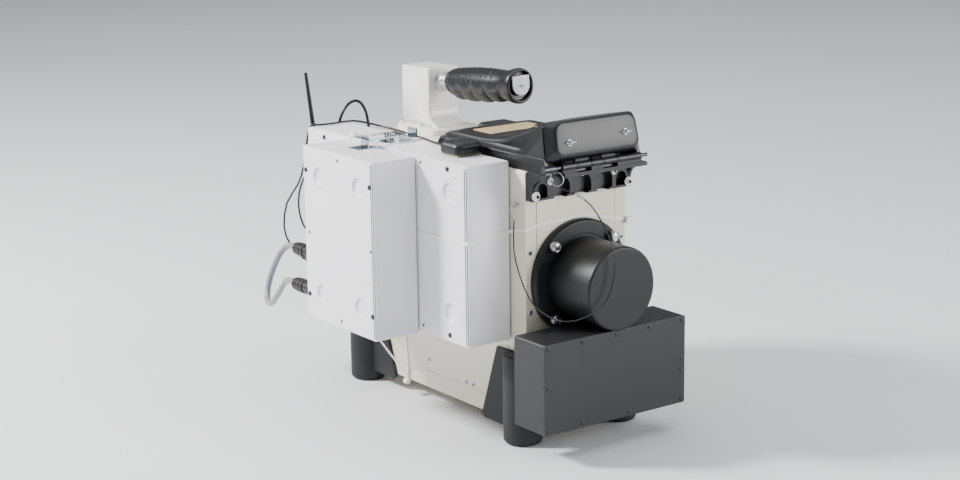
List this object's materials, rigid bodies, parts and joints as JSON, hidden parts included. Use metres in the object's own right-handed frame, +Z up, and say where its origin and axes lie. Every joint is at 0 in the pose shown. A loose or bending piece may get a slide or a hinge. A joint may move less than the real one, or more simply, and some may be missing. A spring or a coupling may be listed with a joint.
{
  "type": "portable radiation detector",
  "caption": "Carried radiation detector: instrument case with round endcap, neutron module, side electronics boxes, front hood, whip antenna and rubber-gripped handle.",
  "frame": {"origin": "centre of the whole object's outline seen from above, without its loose cables, at floor level", "axes": "+Z up; -Y to the front, where the detector endcap points; +X to the case's right side, away from the side boxes"},
  "size_m": [0.346, 0.6377, 0.4822],
  "materials": {
    "case_paint": "painted satin cream",
    "box_paint": "painted satin white",
    "module_paint": "painted fine textured charcoal",
    "cap_paint": "satin black anodised",
    "hood_plastic": "satin black",
    "rubber_black": "matt",
    "steel": "bright",
    "dark_steel": "dark plated",
    "zinc": "bright zinc",
    "cast_white": "painted semi gloss white",
    "nylon": "translucent white",
    "connector_dark": "matt dark brown",
    "cable_black": "smooth",
    "cable_grey": "smooth",
    "foam": "tan foam",
    "label": "printed film, bare",
    "board": "green laminate",
    "inner_metal": "plain",
    "poly": "white polyethylene",
    "battery_case": "matt"
  },
  "bodies": {
    "case": {"case_shell": "case_paint", "front_plate": "case_paint", "side_panels": "case_paint", "rear_panel": "case_paint", "case_screws": "steel", "bumpers_front": "rubber_black", "bumpers_rear": "rubber_black", "flange": "cap_paint", "endcap": "cap_paint", "crystal": "inner_metal", "cryostat": "inner_metal", "cooler": "inner_metal", "battery": "battery_case", "circuit_boards": "board", "neutron_box": "module_paint", "neutron_lid": "module_paint", "moderator": "poly", "neutron_tubes": "inner_metal", "neutron_spacer": "module_paint", "foam_pads": "foam", "long_box": "box_paint", "long_lid": "box_paint", "outer_box": "box_paint", "outer_lid": "box_paint", "lid_screws": "dark_steel", "hood_bracket": "hood_plastic", "socket_screws": "steel", "hood_shell": "hood_plastic", "anchor_eye": "steel", "anchor_ring": "steel", "lanyard": "cable_black", "display_panel": "label", "dome": "hood_plastic", "handle_casting": "cast_white", "handle_collar": "steel", "grip": "rubber_black", "grip_plate": "steel", "puck": "hood_plastic", "coax_leads": "cable_black", "panel_connectors": "connector_dark", "cable_plugs": "connector_dark", "grey_cable": "cable_grey", "tie_horizontal": "nylon", "tie_vertical": "nylon", "latch_plates": "zinc"},
    "thumb_1": {"thumb_screw_1": "steel"},
    "thumb_2": {"thumb_screw_2": "steel"},
    "thumb_3": {"thumb_screw_3": "steel"},
    "thumb_4": {"thumb_screw_4": "steel"},
    "cover": {"hood_cover": "hood_plastic"},
    "stud_left": {"stud_left": "steel"},
    "stud_right": {"stud_right": "steel"},
    "pin": {"release_pin": "steel"},
    "ring": {"pin_ring": "steel"},
    "whip_base": {"antenna_base": "hood_plastic"},
    "whip": {"antenna_rod": "hood_plastic"},
    "ring_upper": {"plug_ring_upper": "connector_dark"},
    "ring_lower": {"plug_ring_lower": "connector_dark"},
    "lever": {"latch_lever": "zinc"},
    "bail": {"latch_bail": "zinc"}
  },
  "joints": [
    {"name": "thumb_turn_1", "type": "hinge", "parent": "case", "child": "thumb_1", "pos_m": [0.0055, -0.19344, 0.2685], "axis": [0, -1, 0], "continuous": true},
    {"name": "thumb_turn_2", "type": "hinge", "parent": "case", "child": "thumb_2", "pos_m": [0.1045, -0.19344, 0.2685], "axis": [0, -1, 0], "continuous": true},
    {"name": "thumb_turn_3", "type": "hinge", "parent": "case", "child": "thumb_3", "pos_m": [0.0055, -0.19344, 0.1695], "axis": [0, -1, 0], "continuous": true},
    {"name": "thumb_turn_4", "type": "hinge", "parent": "case", "child": "thumb_4", "pos_m": [0.1045, -0.19344, 0.1695], "axis": [0, -1, 0], "continuous": true},
    {"name": "cover_hinge", "type": "hinge", "parent": "case", "child": "cover", "pos_m": [0.053, -0.22444, 0.3795], "axis": [1, 0, 0], "range_deg": [0, 95]},
    {"name": "stud_turn_left", "type": "hinge", "parent": "cover", "child": "stud_left", "pos_m": [0.006, -0.22332, 0.41025], "axis": [0, -0.9781, 0.2079], "range_deg": [0, 90]},
    {"name": "stud_turn_right", "type": "hinge", "parent": "cover", "child": "stud_right", "pos_m": [0.1, -0.22249, 0.41416], "axis": [0, -0.9781, 0.2079], "range_deg": [0, 90]},
    {"name": "pin_slide", "type": "slide", "parent": "case", "child": "pin", "axis": [-1, 0, 0], "range_m": [0, 0.15]},
    {"name": "ring_swing", "type": "hinge", "parent": "pin", "child": "ring", "pos_m": [-0.0115, -0.22444, 0.3744], "axis": [-0.5, 0.866, 0], "range_deg": [-15, 15]},
    {"name": "whip_swivel", "type": "hinge", "parent": "case", "child": "whip_base", "pos_m": [-0.083, 0.24856, 0.3395], "axis": [0, 1, 0], "range_deg": [-20, 20]},
    {"name": "whip_tilt", "type": "hinge", "parent": "whip_base", "child": "whip", "pos_m": [-0.083, 0.24856, 0.3395], "axis": [-1, 0, 0], "range_deg": [0, 78]},
    {"name": "ring_turn_upper", "type": "hinge", "parent": "case", "child": "ring_upper", "pos_m": [-0.093, 0.24656, 0.19], "axis": [0, 1, 0], "continuous": true},
    {"name": "ring_turn_lower", "type": "hinge", "parent": "case", "child": "ring_lower", "pos_m": [-0.155, 0.14656, 0.166], "axis": [0, 1, 0], "continuous": true},
    {"name": "lever_turn", "type": "hinge", "parent": "case", "child": "lever", "pos_m": [-0.075, 0.06256, 0.389], "axis": [0, -1, 0], "range_deg": [0, 110]},
    {"name": "bail_turn", "type": "hinge", "parent": "lever", "child": "bail", "pos_m": [-0.063, 0.06256, 0.391], "axis": [0, -1, 0], "range_deg": [-110, 0]}
  ],
  "couplings": [
    {"joint": "bail_turn", "follows": "lever_turn", "ratio": -1}
  ]
}
